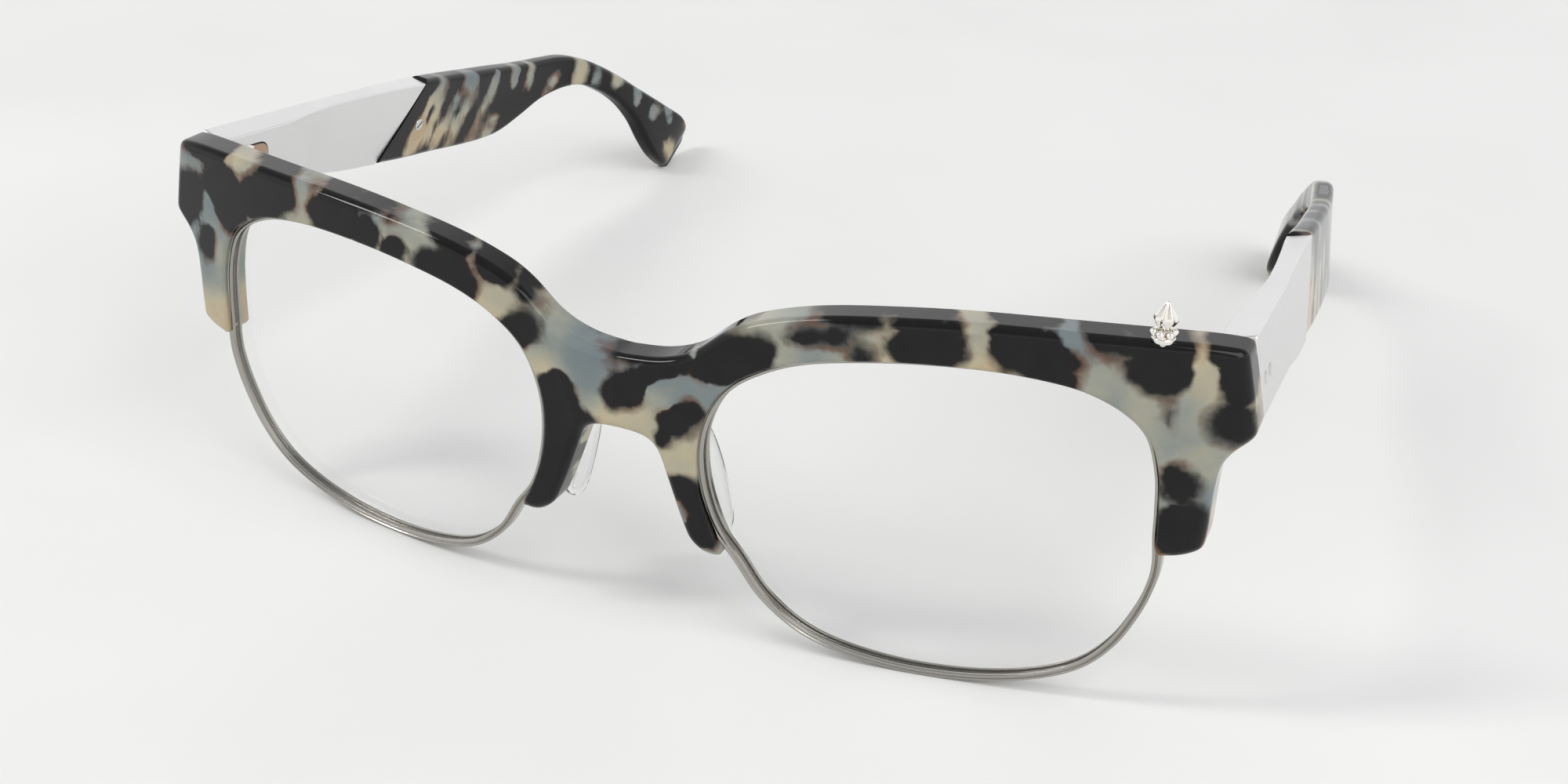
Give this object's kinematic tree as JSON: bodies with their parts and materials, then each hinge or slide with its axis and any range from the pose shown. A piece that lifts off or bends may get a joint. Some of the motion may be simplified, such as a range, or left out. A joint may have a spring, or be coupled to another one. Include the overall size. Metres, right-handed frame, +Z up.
{
  "type": "eyeglasses",
  "caption": "Half rim eyeglasses: mottled acetate brow front, grooved metal eyewires with clear lenses, nose pads and folding metal temples with acetate ends.",
  "frame": {"origin": "middle of the bounding box's footprint, on the table", "axes": "+Z up, +X towards the viewer's right when facing the front, the front looks along -Y and the temples run back along +Y"},
  "size_m": [0.1436, 0.1352, 0.0533],
  "materials": {
    "acetate": "polished mottled acetate: near-black, blue-grey and cream patches with brown edges",
    "rim_metal": "polished silver",
    "temple_metal": "polished to satin silver",
    "lens_clear": "clear",
    "pad_clear": "clear soft plastic",
    "hinge_metal": "satin",
    "bronze": "satin bronze",
    "core_metal": "drawn wire",
    "screw_metal": "polished",
    "stud_metal": "polished silver"
  },
  "bodies": {
    "front": {"brow_front": "acetate", "eyewire_left": "rim_metal", "eyewire_right": "rim_metal", "rim_lock_screws": "screw_metal", "rim_fixing_screws": "screw_metal", "lens_left": "lens_clear", "lens_right": "lens_clear", "nose_pad_left": "pad_clear", "nose_pad_right": "pad_clear", "hinge_front_leaf_left": "hinge_metal", "hinge_front_leaf_right": "hinge_metal", "hinge_anchor_rivets": "screw_metal", "hinge_screw_left": "screw_metal", "hinge_screw_right": "screw_metal", "stud_beads": "stud_metal", "stud_spike": "stud_metal", "stud_peg": "stud_metal"},
    "temple_left": {"temple_metal_left": "temple_metal", "hinge_temple_leaf_left": "bronze", "temple_rivets_left": "screw_metal", "temple_tip_left": "acetate", "core_wire_left": "core_metal", "tip_screw_left": "screw_metal"},
    "temple_right": {"temple_metal_right": "temple_metal", "hinge_temple_leaf_right": "bronze", "temple_rivets_right": "screw_metal", "temple_tip_right": "acetate", "core_wire_right": "core_metal", "tip_screw_right": "screw_metal"}
  },
  "joints": [
    {"name": "temple_left_hinge", "type": "hinge", "parent": "front", "child": "temple_left", "pos_m": [-0.06399, -0.04882, 0.04174], "axis": [0, -0.0879, -0.9961], "range_deg": [0, 87]},
    {"name": "temple_right_hinge", "type": "hinge", "parent": "front", "child": "temple_right", "pos_m": [0.06399, -0.04882, 0.04174], "axis": [0, 0.0879, 0.9961], "range_deg": [0, 80]}
  ]
}
